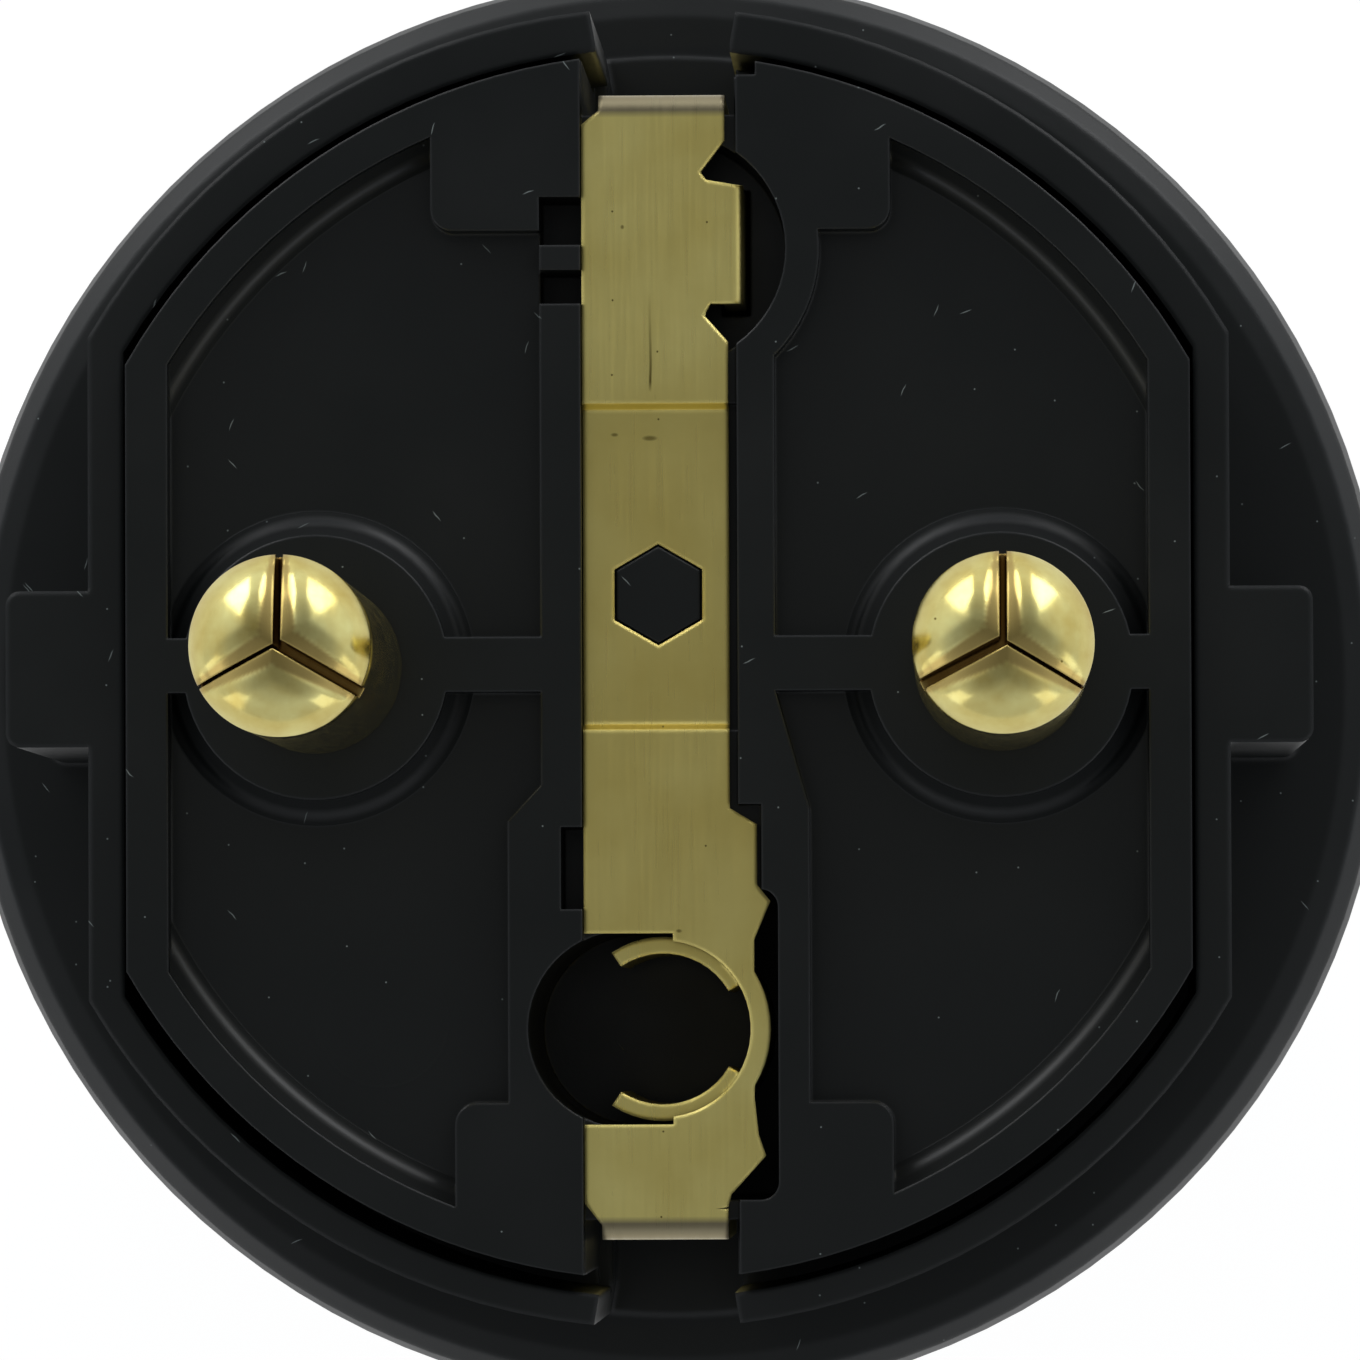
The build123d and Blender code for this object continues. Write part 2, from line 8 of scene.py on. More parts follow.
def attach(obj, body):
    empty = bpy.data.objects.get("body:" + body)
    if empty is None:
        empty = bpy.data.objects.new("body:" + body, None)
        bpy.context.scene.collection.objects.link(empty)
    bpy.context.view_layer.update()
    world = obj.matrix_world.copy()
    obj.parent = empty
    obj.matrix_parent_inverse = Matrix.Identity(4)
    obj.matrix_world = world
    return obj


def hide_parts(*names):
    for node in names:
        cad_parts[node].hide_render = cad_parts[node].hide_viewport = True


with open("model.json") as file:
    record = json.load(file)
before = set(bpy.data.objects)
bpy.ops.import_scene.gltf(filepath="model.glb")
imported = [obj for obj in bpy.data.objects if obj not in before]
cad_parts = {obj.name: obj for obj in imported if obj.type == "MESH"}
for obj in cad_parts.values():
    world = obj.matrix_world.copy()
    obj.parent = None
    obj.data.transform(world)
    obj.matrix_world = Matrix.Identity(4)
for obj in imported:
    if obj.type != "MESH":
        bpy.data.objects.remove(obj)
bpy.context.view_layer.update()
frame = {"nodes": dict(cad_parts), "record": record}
print("frame loaded:", len(frame["nodes"]), "pieces")

mm = 0.001
pinFace = 0.060                     # height of the face that the pins stand on
pocketFloor = pinFace - 1.2 * mm    # height of the insert's four pockets
noiseSpan = (0.3, 0.7)              # where a noise pattern's values mostly lie
edgeSamples = 6
crevices = (8, 0.75, 0.35)          # samples, and the openness between which the dirt thickens

view = {
    "foot": (8.3 * mm, -10.8 * mm),     # where the camera stands over the pin face
    "height": 330 * mm,
    "aim": (0.612 * mm, -0.401 * mm),
    "focal": 11919,                     # in pixels of the 1360 px frame
    "frame": 1360,
    "roll": -0.22,                      # degrees
    "sensor": 36,
    "clip": (0.01, 10),
}


def linear(hexColour):
    # sRGB hex to linear RGBA
    channels = [int(hexColour[i:i + 2], 16) / 255 for i in (1, 3, 5)]
    return [c / 12.92 if c <= 0.04045 else ((c + 0.055) / 1.055) ** 2.4 for c in channels] + [1]


def addNode(tree, kind, settings=None, links=None):
    # one node with its settings and what feeds its inputs
    node = tree.nodes.new(kind)
    for name, value in (settings or {}).items():
        if isinstance(name, str) and hasattr(node, name):
            setattr(node, name, value)
        else:
            node.inputs[name].default_value = value
    for name, source in (links or {}).items():
        tree.links.new(source, node.inputs[name])
    return node


def newMaterial(name):
    material = bpy.data.materials.new(name)
    material.use_nodes = True
    tree = material.node_tree
    tree.nodes.clear()
    return material, tree


def placeCamera():
    data = bpy.data.cameras.new("camera")
    data.sensor_width = view["sensor"]
    data.lens = view["sensor"] * view["focal"] / view["frame"]
    data.clip_start, data.clip_end = view["clip"]
    camera = bpy.data.objects.new("camera", data)
    bpy.context.scene.collection.objects.link(camera)
    eye = Vector((*view["foot"], pinFace + view["height"]))
    aim = Vector((*view["aim"], pinFace))
    back = (eye - aim).normalized()
    up = Vector((math.sin(math.radians(-view["roll"])), math.cos(math.radians(view["roll"])), 0))
    side = up.cross(back).normalized()
    up = back.cross(side)
    turn = Matrix((side, up, back)).transposed().to_4x4()
    camera.matrix_world = Matrix.Translation(eye) @ turn
    bpy.context.scene.camera = camera


placeCamera()
print("camera placed")


blackMoulding = {
    "colour": "#020606",
    "colourWorn": "#070a0a",
    "roughness": (0.30, 0.42),
    "slopeRoughness": 0.90,    # the slopes at the feet of walls and collars are coarser
    "slant": ((0.97, 0.85), (0.02, 0.10)),     # of their normals' Z: where they start and end
    "footHeight": pocketFloor + 0.24 * mm,     # along their middle runs a line rubbed smooth
    "footLine": 0.16 * mm,
    "footShine": 0.70,
    "grain": (0.09 * mm, 2.0),     # spark-eroded mould grain: size and detail
    "mottle": (5.0 * mm, 5.0),
    "relief": (0.10, 0.02 * mm),   # strength and depth
    "refraction": 1.44,
    "edge": 0.12 * mm,         # radius that the mould's edges catch the light with
    "speckCell": 1.1 * mm,     # one grain of dust in some of these cells
    "speckSize": 0.032 * mm,
    "speckShare": 0.12,
    "fibreLong": 0.20 * mm,    # half length of a fibre
    "fibreThin": 0.020 * mm,
    "fibreCell": 2.4 * mm,
    "fibreShare": 0.006,
    "fibreTurns": (25, 70, 130),   # degrees
    "fibreWave": (2, 1.0, 5),      # length in half lengths, detail, and swing in thicknesses
    "dust": "#6e7574",
    "dustRoughness": 0.9,
    "dustSlope": (0.6, 0.9),   # it settles where the face's normal has this Z or more
}


def place(tree):
    # object coordinates in metres, so that every pattern has its real size
    return addNode(tree, "ShaderNodeTexCoord").outputs["Object"]


def stretched(tree, stretch):
    # the same, with each axis at its own scale
    node = addNode(tree, "ShaderNodeMapping", {"Scale": stretch}, {"Vector": place(tree)})
    return node.outputs["Vector"]


def split(tree, vector):
    # the X, Y and Z of a vector
    return addNode(tree, "ShaderNodeSeparateXYZ", None, {"Vector": vector}).outputs


def upward(tree):
    # how far the face below a point looks up
    surface = addNode(tree, "ShaderNodeNewGeometry")
    return split(tree, surface.outputs["True Normal"])["Z"]


def combine(tree, operation, first, second=0.0):
    # one arithmetic step between two values, each a socket or a number
    node = addNode(tree, "ShaderNodeMath", {"operation": operation})
    for index, value in enumerate((first, second)):
        if isinstance(value, (int, float)):
            node.inputs[index].default_value = value
        else:
            tree.links.new(value, node.inputs[index])
    return node.outputs[0]


def fade(tree, value, start, end, low=0.0, high=1.0):
    # value runs from start to end, the result from low to high, held beyond both
    limits = {"From Min": start, "From Max": end, "To Min": low, "To Max": high}
    return addNode(tree, "ShaderNodeMapRange", limits, {"Value": value}).outputs["Result"]


def mixed(tree, first, second, share):
    # from the first colour to the second, each a socket or a hex colour
    node = addNode(tree, "ShaderNodeMix", {"data_type": "RGBA"}, {0: share})
    for index, colour in ((6, first), (7, second)):
        if isinstance(colour, str):
            node.inputs[index].default_value = linear(colour)
        else:
            tree.links.new(colour, node.inputs[index])
    return node.outputs[2]


def noise(tree, size, detail, vector=None):
    # a noise pattern with lumps of one size
    return addNode(tree, "ShaderNodeTexNoise", {"Scale": 1 / size, "Detail": detail},
                   {"Vector": vector or place(tree)}).outputs


def squares(tree, first, second):
    # the sum of two squares
    return combine(tree, "ADD", combine(tree, "MULTIPLY", first, first),
                   combine(tree, "MULTIPLY", second, second))


def scattered(tree, space, cell, size, share):
    # a small dot in the few cells whose random colour is low enough, seen along Z
    cells = addNode(tree, "ShaderNodeTexVoronoi", {"voronoi_dimensions": "2D", "Scale": 1 / cell},
                    {"Vector": space})
    draw = addNode(tree, "ShaderNodeSeparateColor", None, {"Color": cells.outputs["Color"]})
    chosen = combine(tree, "LESS_THAN", draw.outputs[0], share)
    dot = fade(tree, cells.outputs["Distance"], size / cell, size / cell / 2)
    return combine(tree, "MULTIPLY", dot, chosen)


def fibres(tree, look, turn):
    # short wavering fibres that lie one way
    long, thin = look["fibreLong"], look["fibreThin"]
    wave, detail, swing = look["fibreWave"]
    waver = noise(tree, wave * long, detail)
    shift = addNode(tree, "ShaderNodeVectorMath", {"operation": "SCALE", "Scale": swing * thin},
                    {0: waver["Color"]})
    bent = addNode(tree, "ShaderNodeVectorMath", {"operation": "ADD"},
                   {0: place(tree), 1: shift.outputs[0]})
    space = addNode(tree, "ShaderNodeMapping", {
        "vector_type": "TEXTURE", "Scale": (1, 1 / (long / thin), 1),
        "Rotation": (0, 0, math.radians(turn))}, {"Vector": bent.outputs[0]})
    return scattered(tree, space.outputs["Vector"], look["fibreCell"], long, look["fibreShare"])


def settledDust(tree, look):
    # specks and fibres on whatever faces up
    marks = scattered(tree, place(tree), look["speckCell"], look["speckSize"], look["speckShare"])
    for turn in look["fibreTurns"]:
        marks = combine(tree, "MAXIMUM", marks, fibres(tree, look, turn))
    return combine(tree, "MULTIPLY", marks, fade(tree, upward(tree), *look["dustSlope"]))


def slopes(tree, look):
    # roughness of what faces up at a slant, less along the middle of the feet
    facing = upward(tree)
    start, end = look["slant"]
    slant = combine(tree, "MULTIPLY", fade(tree, facing, *start), fade(tree, facing, *end))
    height = split(tree, place(tree))["Z"]
    off = combine(tree, "ABSOLUTE", combine(tree, "SUBTRACT", height, look["footHeight"]))
    line = fade(tree, off, 0.0, look["footLine"], 1 - look["footShine"], 1.0)
    return combine(tree, "MULTIPLY", combine(tree, "MULTIPLY", slant, line), look["slopeRoughness"])


def finish(tree, look, settings, colour, rough, relief):
    # the surface itself, with rounded edges and its relief
    strength, depth = look["relief"]
    edges = addNode(tree, "ShaderNodeBevel", {"samples": edgeSamples, "Radius": look["edge"]})
    bump = addNode(tree, "ShaderNodeBump", {"Strength": strength, "Distance": depth},
                   {"Height": relief, "Normal": edges.outputs["Normal"]})
    shader = addNode(tree, "ShaderNodeBsdfPrincipled", settings, {
        "Base Color": colour, "Roughness": rough, "Normal": bump.outputs["Normal"]})
    addNode(tree, "ShaderNodeOutputMaterial", None, {"Surface": shader.outputs["BSDF"]})


ejectorMark = {
    "centre": (-7.72 * mm, -9.81 * mm),
    "radius": 1.85 * mm,
    "line": 0.07 * mm,
    "height": 5.0,     # against the grain's relief
}


def ringMark(tree, look):
    # the faint ring that an ejector pin leaves on the floor of a pocket
    axes = split(tree, place(tree))
    across = combine(tree, "SUBTRACT", axes["X"], look["centre"][0])
    along = combine(tree, "SUBTRACT", axes["Y"], look["centre"][1])
    reach = combine(tree, "SQRT", squares(tree, across, along))
    off = combine(tree, "ABSOLUTE", combine(tree, "SUBTRACT", reach, look["radius"]))
    return combine(tree, "MULTIPLY", fade(tree, off, look["line"], 0.0), look["height"])


def mouldedPlastic(name, look, mark=None):
    # satin black moulding: even, faintly mottled gloss, fine grain, soft edges, a little dust
    material, tree = newMaterial(name)
    mottle = noise(tree, *look["mottle"])["Fac"]
    relief = noise(tree, *look["grain"])["Fac"]
    dust = settledDust(tree, look)
    tone = mixed(tree, look["colour"], look["colourWorn"], mottle)
    rough = fade(tree, mottle, *noiseSpan, *look["roughness"])
    rough = combine(tree, "MAXIMUM", rough, combine(tree, "MULTIPLY", dust, look["dustRoughness"]))
    rough = combine(tree, "MAXIMUM", rough, slopes(tree, look))
    if mark:
        relief = combine(tree, "ADD", relief, ringMark(tree, mark))
    finish(tree, look, {"IOR": look["refraction"]}, mixed(tree, tone, look["dust"], dust), rough, relief)
    return material


sheetRelief = (0.08, 0.01 * mm)

stripSheet = {
    "relief": sheetRelief,
    "colour": "#f8e893",
    "colourDark": "#ead780",
    # painted shade: the tone the strip's middle is darkened by
    "paintedShadeTone": "#f0ede6",
    "roughness": (0.26, 0.38),
    "streak": (3.5 * mm, 0.10 * mm, 3.0),  # rolling marks: length, width and detail
    "cloud": (2.5 * mm, 4.0),
    "edge": 0.20 * mm,
    "stainCell": 1.3 * mm,
    "stainSize": 0.035 * mm,
    "stainShare": 0.10,
    "stain": "#6e5f2c",
    "dirt": "#4f4626",
    "dirtReach": 0.07 * mm,
    "scratchX": -0.19 * mm,                # the long dark scratch above the middle
    "scratchY": (7.7 * mm, 10.4 * mm),
    "scratchWide": 0.05 * mm,
    "scratchWave": (1.2 * mm, 2.0, 0.04 * mm),     # length, detail and swing
    "scratchStart": (-0.1 * mm, 0.2 * mm),
    "paintedBendReflection": (15.25 * mm, 15.45 * mm),      # painted reflection: from here outwards the bends are tinted the greyish colour of the surroundings they mirror
    "paintedBendReflectionHeight": (pinFace - 1.4 * mm, pinFace - 0.6 * mm),
    # painted reflection: the greyish tone of the bends
    "paintedBendReflectionTone": "#90866b",
    "paintedShadeSpan": (6.5 * mm, 9.5 * mm),      # painted shade: the middle is darkened, so the ends lie a touch brighter as the strip's slight curve catches the light
    "smudgeEdge": (1.4, 0.2),
    "smudgeShare": 0.7,
    "smudges": [                           # place and half sizes of the dark smears
        (-0.22 * mm, 6.35 * mm, 0.20 * mm, 0.07 * mm),
        (-0.95 * mm, 12.2 * mm, 0.05 * mm, 0.06 * mm),
        (0.55 * mm, -7.35 * mm, 0.08 * mm, 0.05 * mm),
        (-1.2 * mm, 6.45 * mm, 0.10 * mm, 0.05 * mm),
    ],
}


def smear(tree, look, axes, spot):
    # a soft-edged oval mark at one place
    x, y, wide, high = spot
    across = combine(tree, "DIVIDE", combine(tree, "SUBTRACT", axes["X"], x), wide)
    along = combine(tree, "DIVIDE", combine(tree, "SUBTRACT", axes["Y"], y), high)
    return fade(tree, squares(tree, across, along), *look["smudgeEdge"], 0.0, look["smudgeShare"])


def longScratch(tree, look, axes):
    # a thin wavering line along Y between two places
    wave, detail, swing = look["scratchWave"]
    bend = fade(tree, noise(tree, wave, detail)["Fac"], 0.0, 1.0, -swing, swing)
    across = combine(tree, "ADD", combine(tree, "SUBTRACT", axes["X"], look["scratchX"]), bend)
    line = fade(tree, combine(tree, "ABSOLUTE", across), look["scratchWide"], look["scratchWide"] / 3)
    low, high = look["scratchY"]
    before, after = look["scratchStart"]
    start = fade(tree, axes["Y"], low + before, low + after)
    end = fade(tree, axes["Y"], high, low)
    return combine(tree, "MULTIPLY", combine(tree, "MULTIPLY", line, start), end)


def stripWear(tree, look, marks, tone):
    # what is particular to the strip: its scratch and smears, painted shade over its middle, and a
    # painted reflection on its bends
    axes = split(tree, place(tree))
    marks = combine(tree, "MAXIMUM", marks, longScratch(tree, look, axes))
    for spot in look["smudges"]:
        marks = combine(tree, "MAXIMUM", marks, smear(tree, look, axes, spot))
    out = combine(tree, "ABSOLUTE", axes["Y"])
    middle, end = look["paintedShadeSpan"]
    # painted shade: the strip darkens from its ends towards its middle
    shade = addNode(tree, "ShaderNodeMix", {
        "data_type": "RGBA", "blend_type": "MULTIPLY", 7: linear(look["paintedShadeTone"])},
        {0: fade(tree, out, end, middle), 6: tone})
    # painted reflection: the bends, beyond the span and near the top, take the greyish tone
    paintedBendReflection = combine(tree, "MULTIPLY", fade(tree, out, *look["paintedBendReflection"]),
                   fade(tree, axes["Z"], *look["paintedBendReflectionHeight"]))
    return marks, mixed(tree, shade.outputs[2], look["paintedBendReflectionTone"], paintedBendReflection)


def rolledMetal(name, look, wear=None):
    # bare metal: fine lengthwise streaks, clouds, a few stains, dirt in the crevices
    material, tree = newMaterial(name)
    long, thin, detail = look["streak"]
    streaks = noise(tree, thin, detail, stretched(tree, (1, thin / long, thin / long)))["Fac"]
    clouds = fade(tree, noise(tree, *look["cloud"])["Fac"], *noiseSpan)
    marks = scattered(tree, place(tree), look["stainCell"], look["stainSize"], look["stainShare"])
    tone = mixed(tree, look["colour"], look["colourDark"], clouds)
    if "pressedTone" in look:
        pressed = addNode(tree, "ShaderNodeAttribute", {"attribute_name": "pressed"})
        tone = mixed(tree, tone, look["pressedTone"], pressed.outputs["Fac"])
    if wear:
        marks, tone = wear(tree, look, marks, tone)
    tone = mixed(tree, tone, look["stain"], marks)
    samples, clean, dirty = crevices
    crevice = addNode(tree, "ShaderNodeAmbientOcclusion",
                      {"samples": samples, "Distance": look["dirtReach"]})
    tone = mixed(tree, tone, look["dirt"], fade(tree, crevice.outputs["AO"], clean, dirty))
    rough = fade(tree, streaks, *noiseSpan, *look["roughness"])
    finish(tree, look, {"Metallic": 1.0}, tone, rough, streaks)
    return material


pinTube = {
    "relief": sheetRelief,
    "colour": "#d9d08a",
    "colourDark": "#c2ae62",
    "roughness": (0.15, 0.22),
    "streak": (2.0 * mm, 0.12 * mm, 3.0),
    "cloud": (1.1 * mm, 4.0),
    "edge": 0.10 * mm,
    "stainCell": 1.1 * mm,
    "stainSize": 0.04 * mm,
    "stainShare": 0.08,
    "stain": "#7c6a30",
    "dirt": "#6b4513",
    "dirtReach": 0.45 * mm,
    "pressedTone": "#b09a5c",  # tarnish on the bands beside the seams
}

zincScrew = {
    "relief": sheetRelief,
    "colour": "#c9c9c4",
    "colourDark": "#9d9d98",
    "roughness": (0.28, 0.42),
    "streak": (1.5 * mm, 0.08 * mm, 3.0),
    "cloud": (1.2 * mm, 4.0),
    "edge": 0.08 * mm,
    "stainCell": 1.5 * mm,
    "stainSize": 0.05 * mm,
    "stainShare": 0.08,
    "stain": "#6f6f6a",
    "dirt": "#4a4a46",
    "dirtReach": 0.3 * mm,
}

softMoulding = dict(blackMoulding, roughness=(0.34, 0.46), slopeRoughness=0.0,
                    grain=(0.14 * mm, 2.0), edge=0.25 * mm)

finishes = {
    "body_rubber": mouldedPlastic("moulded thermoplastic rubber", softMoulding),
    "insert_plastic": mouldedPlastic("moulded polyamide", blackMoulding, ejectorMark),
    "carrier_plastic": mouldedPlastic("moulded polyamide inner", blackMoulding),
    "pin_brass": rolledMetal("drawn brass tube", pinTube),
    "strip_brass": rolledMetal("rolled brass strip", stripSheet, stripWear),
    "terminal_brass": rolledMetal("machined brass", pinTube),
    "screw_steel": rolledMetal("zinc plated steel", zincScrew),
}


def dress():
    slots = {part["node"]: part["material_slot"] for part in frame["record"]["subparts"]}
    for name, piece in frame["nodes"].items():
        piece.data.materials.clear()
        piece.data.materials.append(finishes[slots[name]])


dress()
print("materials on:", len(finishes))


pinShape = {
    "offset": 9.5 * mm,
    "radius": 2.4 * mm,
    "shank": 2.2 * mm,
    "hollow": 1.8 * mm,
    "reach": 19.0 * mm,
    "raise": 0.25 * mm,             # makes up for what the bands take off the tip
    "tail": 20.4 * mm,
    "tipWall": 1.0 * mm,            # between the seams' floor and the hollow
    "slope": (0.40, 0.25, 1.6, 7),  # of the tip: at its middle, its gain to the rim, its steep edge
    "lobeDrop": 1.8 * mm,           # how far the seams run down the side
    "seamWide": 0.2 * mm,
    "seams": (90, 207, 330),        # degrees seen from the tip
    "opening": 0.5,                 # one lower seam is wider by this share, the other narrower
    "band": (0.46 * mm, 0.14 * mm),     # pressed band along each seam, at the middle and at the rim
    "bandDrop": 0.07 * mm,          # how far it lies below the lobe
    "bandTilt": 0.22,
    "bandEdge": (0.9, 0.12 * mm),   # share of the band where the step to the lobe starts, its width
    "swell": 0.50 * mm,             # over this distance from the band each lobe swells
    "swellDrop": 0.09 * mm,
    "rimBlend": 0.86,               # share of the radius beyond which the bands run out
    "sink": 0.2 * mm,               # how far the lobes reach into the tube
    "tarnishEdge": 0.10 * mm,
    "crease": 38,                   # degrees from which an edge stays sharp
    "turns": 132,
    "steps": 30,
}


def smooth(value):
    value = min(max(value, 0.0), 1.0)
    return value * value * (3 - 2 * value)


def tipHeight(reach):
    # height of the plain tip over its rim, at a distance from the pin's axis
    middle, gain, edge, power = pinShape["slope"]
    share = min(reach / pinShape["radius"], 1.0)
    rise = middle * (1 - share) + gain / 2 * (1 - share ** 2) + edge / power * (1 - share ** power)
    return pinShape["radius"] * rise


def rimHeight():
    return pinFace + pinShape["reach"] + pinShape["raise"] - tipHeight(0)


def bandWidth(reach):
    inner, outer = pinShape["band"]
    return inner + (outer - inner) * min(reach / pinShape["radius"], 1.0)


def lobeHeight(x, y, lines):
    # the tip swells between the seams, with a pressed band beside each
    reach = math.hypot(x, y)
    off = min(x * nx + y * ny - half for nx, ny, half in lines)
    band = bandWidth(reach)
    drop = pinShape["bandTilt"] * max(band - off, 0.0)
    share, width = pinShape["bandEdge"]
    drop += pinShape["bandDrop"] * (1 - smooth((off - band * share) / width))
    drop += pinShape["swellDrop"] * (1 - smooth((off - band) / pinShape["swell"]))
    blend = pinShape["rimBlend"]
    return tipHeight(reach) - drop * (1 - smooth((reach / pinShape["radius"] - blend) / (1 - blend)))


def lobe(bm, start, end, startHalf, endHalf, centre):
    # one lobe between two seams: its top, and walls down to the tube
    r = pinShape["radius"]
    a, b = math.radians(start), math.radians(end)
    lines = ((-math.sin(a), math.cos(a), startHalf), (math.sin(b), -math.cos(b), endHalf))
    (ax, ay, ah), (bx, by, bh) = lines
    det = ax * by - ay * bx
    px, py = (ah * by - bh * ay) / det, (ax * bh - bx * ah) / det
    rows = []
    turns = pinShape["turns"] // len(pinShape["seams"])
    for i in range(turns + 1):
        # finer beside the seams
        share = i / turns
        share = 0.5 - 0.5 * math.cos(math.pi * share)
        angle = a + (b - a) * share
        dx, dy = math.cos(angle), math.sin(angle)
        inward = px * dx + py * dy
        far = -inward + math.sqrt(inward * inward + r * r - px * px - py * py)
        row = []
        for j in range(1, pinShape["steps"] + 1):
            t = far * math.sin(0.5 * math.pi * j / pinShape["steps"])
            x, y = px + t * dx, py + t * dy
            row.append(bm.verts.new((centre + x, y, rimHeight() + lobeHeight(x, y, lines))))
        rows.append(row)
    top = bm.verts.new((centre + px, py, rimHeight() + lobeHeight(px, py, lines)))
    floor = rimHeight() - pinShape["lobeDrop"] - pinShape["sink"]
    base = bm.verts.new((centre + px, py, floor))
    for near, far in zip(rows, rows[1:]):
        bm.faces.new((top, near[0], far[0]))
        for j in range(len(near) - 1):
            bm.faces.new((near[j], near[j + 1], far[j + 1], far[j]))
    # walls: along the first seam, round the outside, back along the second seam
    edge = [top] + rows[0] + [row[-1] for row in rows[1:]] + rows[-1][-2::-1]
    low = [base] + [bm.verts.new((v.co.x, v.co.y, floor)) for v in edge[1:]]
    for i in range(len(edge)):
        j = (i + 1) % len(edge)
        bm.faces.new((edge[j], edge[i], low[i], low[j]))
    bm.faces.new(low)


def tube(bm, centre):
    # the pin under its lobes: wall, shoulder on the pin face, shank and hollow end
    top = rimHeight() - pinShape["lobeDrop"]
    back = pinFace - pinShape["tail"]
    deep = top - pinShape["tipWall"]
    outline = [(0.0, top), (pinShape["radius"], top), (pinShape["radius"], pinFace),
               (pinShape["shank"], pinFace), (pinShape["shank"], back), (pinShape["hollow"], back),
               (pinShape["hollow"], deep), (0.0, deep)]
    count = pinShape["turns"]
    rings = []
    for r, z in outline:
        if r == 0.0:
            rings.append([bm.verts.new((centre, 0, z))])
            continue
        rings.append([bm.verts.new((centre + r * math.cos(2 * math.pi * i / count),
                                    r * math.sin(2 * math.pi * i / count), z)) for i in range(count)])
    for upper, lower in zip(rings, rings[1:]):
        for i in range(count):
            j = (i + 1) % count
            if len(upper) == 1:
                bm.faces.new((upper[0], lower[i], lower[j]))
            elif len(lower) == 1:
                bm.faces.new((upper[i], lower[0], upper[j]))
            else:
                bm.faces.new((upper[i], lower[i], lower[j], upper[j]))


def meshPiece(name, fill):
    bm = bmesh.new()
    fill(bm)
    bmesh.ops.recalc_face_normals(bm, faces=bm.faces)
    mesh = bpy.data.meshes.new(name)
    bm.to_mesh(mesh)
    bm.free()
    piece = bpy.data.objects.new(name, mesh)
    bpy.context.scene.collection.objects.link(piece)
    return piece


def markSeams(mesh, centre, halves):
    # how near each point lies to a seam, for the tarnish there
    near = mesh.attributes.new("pressed", "FLOAT", "POINT")
    start = rimHeight() - pinShape["lobeDrop"]
    for vertex, mark in zip(mesh.vertices, near.data):
        x, y, z = vertex.co
        x -= centre
        offs = []
        for turn, half in zip(pinShape["seams"], halves):
            turn = math.radians(turn)
            along = x * math.cos(turn) + y * math.sin(turn)
            across = abs(y * math.cos(turn) - x * math.sin(turn))
            offs.append(across - half if along > 0 else math.hypot(x, y))
        off = min(offs) - bandWidth(math.hypot(x, y))
        mark.value = 1 - smooth(off / pinShape["tarnishEdge"] + 0.5) if z > start else 0.0


def pressedPin(name, side):
    # tube and three lobes, joined into one closed skin
    centre = side * pinShape["offset"]
    half = pinShape["seamWide"] / 2
    halves = (half, half * (1 + side * pinShape["opening"]), half * (1 - side * pinShape["opening"]))
    pin = meshPiece(name + "_pressed", lambda bm: tube(bm, centre))
    for i in range(3):
        j = (i + 1) % 3
        start, end = pinShape["seams"][i], pinShape["seams"][j]
        if end < start:
            end += 360
        part = meshPiece("lobe", lambda bm: lobe(bm, start, end, halves[i], halves[j], centre))
        union = pin.modifiers.new("join", "BOOLEAN")
        union.operation = "UNION"
        union.object = part
        bpy.context.view_layer.update()
        solved = pin.evaluated_get(bpy.context.evaluated_depsgraph_get())
        joined = bpy.data.meshes.new_from_object(solved)
        pin.modifiers.clear()
        pin.data = joined
        bpy.data.objects.remove(part)
    markSeams(pin.data, centre, halves)
    for face in pin.data.polygons:
        face.use_smooth = True
    pin.data.set_sharp_from_angle(angle=math.radians(pinShape["crease"]))
    pin.data.materials.clear()
    pin.data.materials.append(finishes["pin_brass"])
    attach(pin, "root")
    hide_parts(name)
    print(name, "pressed with", len(pin.data.polygons), "faces")


pressedPin("pin_left", -1)
pressedPin("pin_right", 1)


studio = {
    "floor": "#f8f8f8",
    "floorSize": 1.6,
    "floorGap": 0.02 * mm,      # keeps the sheet clear of the inlet's end
    "floorGlow": 0.85,          # share of the floor that shows plain white, the rest keeps the shadow
    "floorGloss": 0.6,          # the same where metal and gloss mirror it
    "glow": 1.09,               # enough for the mix to show as plain white
    "zenith": (0.250, 0.262, 0.268),    # the tent's linear colours overhead and all round
    "horizon": (1.12, 1.17, 1.24),
    "band": (0.28, 0.90),       # sines of the elevations where the tent starts to darken and is darkest
    "farSide": (-0.8, 0.8, 0.58, 0.92),     # from the first Y to the second, the light's shares there
    "softbox": [                # azimuth and elevation in degrees, distance, size in metres, watts
        (57, 16, 0.60, 0.34, 1.00),
        (125, 16, 0.60, 0.34, 1.00),
        (222, 10, 0.60, 0.30, 0.22),
        (318, 10, 0.60, 0.30, 0.22),
    ],
}


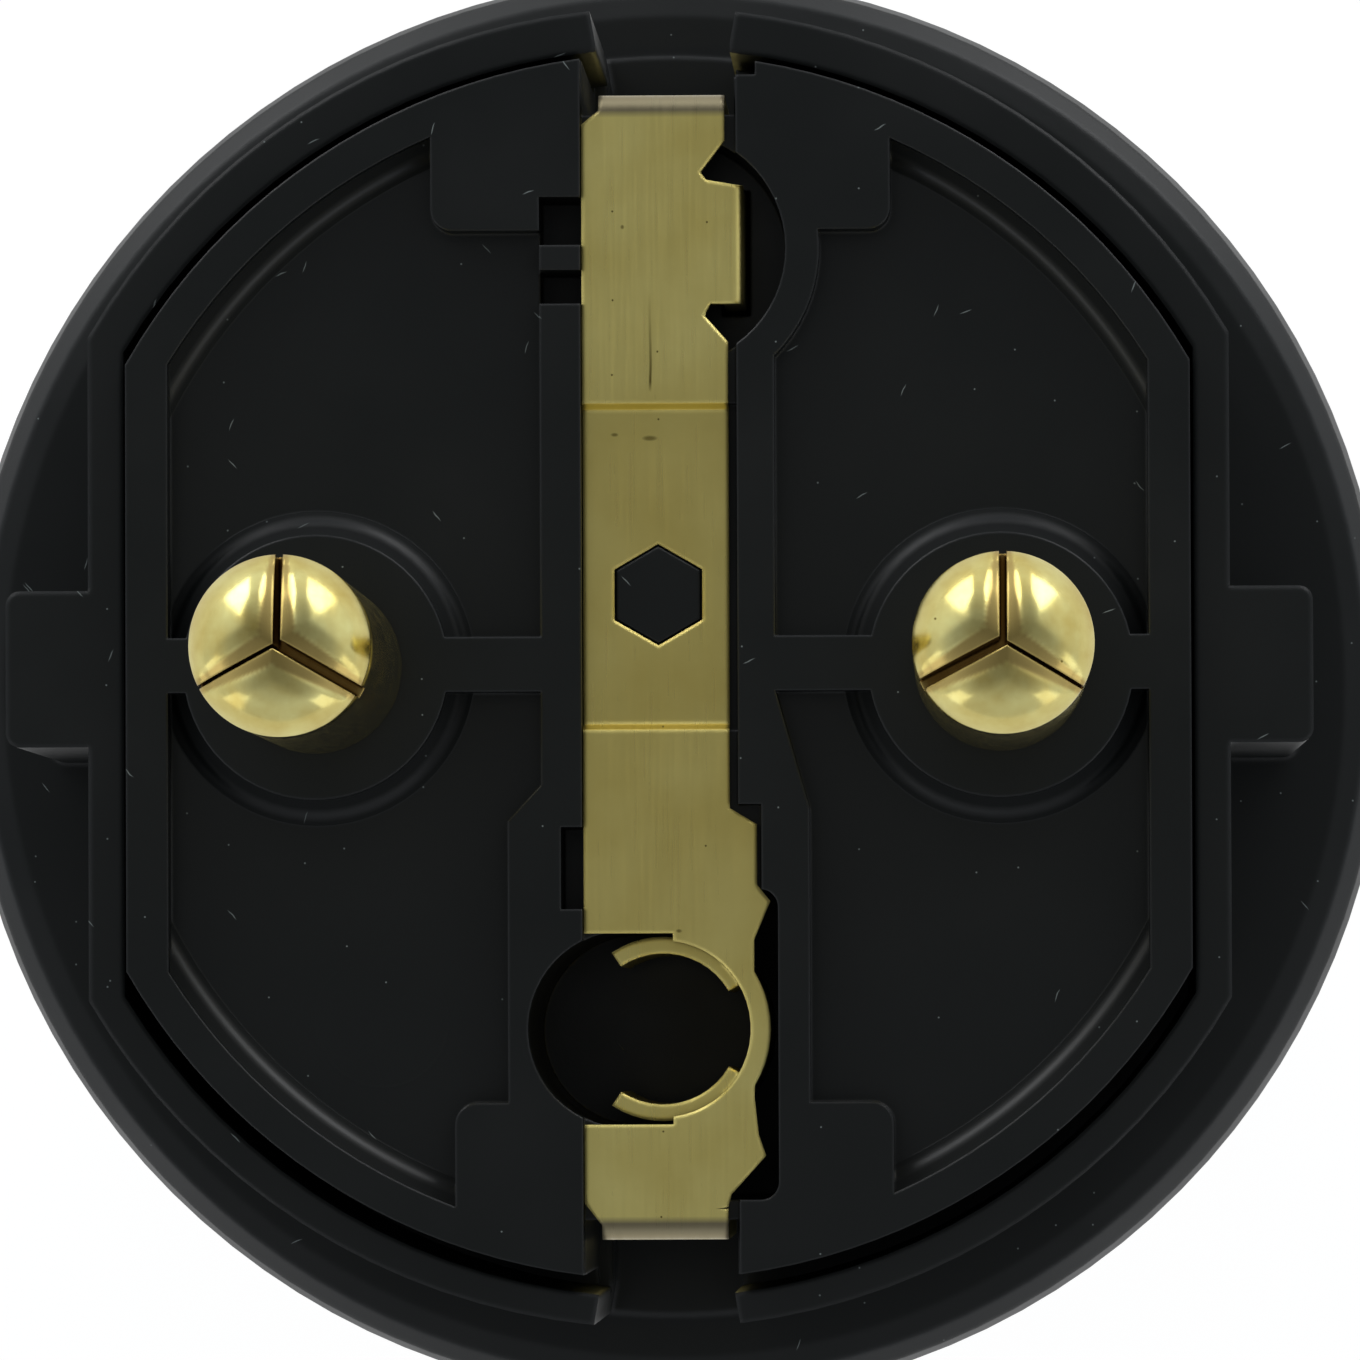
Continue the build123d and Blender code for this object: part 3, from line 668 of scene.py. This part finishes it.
def layFloor():
    half = studio["floorSize"] / 2
    mesh = bpy.data.meshes.new("floor")
    low = -studio["floorGap"]
    mesh.from_pydata([(-half, -half, low), (half, -half, low), (half, half, low), (-half, half, low)],
                     [], [(0, 1, 2, 3)])
    floor = bpy.data.objects.new("floor", mesh)
    bpy.context.scene.collection.objects.link(floor)
    material, tree = newMaterial("matt white sheet")
    seen = addNode(tree, "ShaderNodeLightPath").outputs
    paper = addNode(tree, "ShaderNodeBsdfDiffuse", {"Color": linear(studio["floor"])})
    glow = addNode(tree, "ShaderNodeEmission", {"Color": (1, 1, 1, 1), "Strength": studio["glow"]})
    mirrored = combine(tree, "MAXIMUM", seen["Is Glossy Ray"], seen["Is Transmission Ray"])
    direct = combine(tree, "MULTIPLY", seen["Is Camera Ray"], studio["floorGlow"])
    direct = combine(tree, "MAXIMUM", direct, combine(tree, "MULTIPLY", mirrored, studio["floorGloss"]))
    mix = addNode(tree, "ShaderNodeMixShader", None, {
        0: direct, 1: paper.outputs["BSDF"], 2: glow.outputs["Emission"]})
    addNode(tree, "ShaderNodeOutputMaterial", None, {"Surface": mix.outputs["Shader"]})
    mesh.materials.append(material)


def lightTent():
    # pale all round, dim overhead where the camera looks in, white where it is seen directly
    world = bpy.data.worlds.new("light tent")
    bpy.context.scene.world = world
    world.use_nodes = True
    tree = world.node_tree
    tree.nodes.clear()
    axes = split(tree, addNode(tree, "ShaderNodeTexCoord").outputs["Generated"])
    low, high = studio["band"]
    height = addNode(tree, "ShaderNodeMapRange", {
        "interpolation_type": "SMOOTHSTEP", "From Min": low, "From Max": high}, {"Value": axes["Z"]})
    tent = addNode(tree, "ShaderNodeMix", {
        "data_type": "RGBA", 6: (*studio["horizon"], 1), 7: (*studio["zenith"], 1)},
        {0: height.outputs["Result"]})
    side = fade(tree, axes["Y"], *studio["farSide"])
    side = combine(tree, "MAXIMUM", side, height.outputs["Result"])
    seen = addNode(tree, "ShaderNodeLightPath")
    inside = addNode(tree, "ShaderNodeBackground", None, {"Color": tent.outputs[2], "Strength": side})
    outside = addNode(tree, "ShaderNodeBackground", {"Color": (1, 1, 1, 1), "Strength": 1.0})
    sky = addNode(tree, "ShaderNodeMixShader", None, {
        0: seen.outputs["Is Camera Ray"], 1: inside.outputs["Background"],
        2: outside.outputs["Background"]})
    addNode(tree, "ShaderNodeOutputWorld", None, {"Surface": sky.outputs["Shader"]})


def hangSoftboxes():
    target = Vector((0, 0, pinFace))
    for azimuth, elevation, reach, size, watts in studio["softbox"]:
        data = bpy.data.lights.new("softbox", "AREA")
        data.size = size
        data.energy = watts
        lamp = bpy.data.objects.new("softbox", data)
        bpy.context.scene.collection.objects.link(lamp)
        across = math.cos(math.radians(elevation))
        out = Vector((math.cos(math.radians(azimuth)) * across, math.sin(math.radians(azimuth)) * across,
                      math.sin(math.radians(elevation))))
        lamp.location = target + reach * out
        lamp.rotation_euler = out.to_track_quat("Z", "Y").to_euler()


layFloor()
lightTent()
hangSoftboxes()
bpy.context.scene.view_settings.view_transform = "Standard"
print("floor and light set")
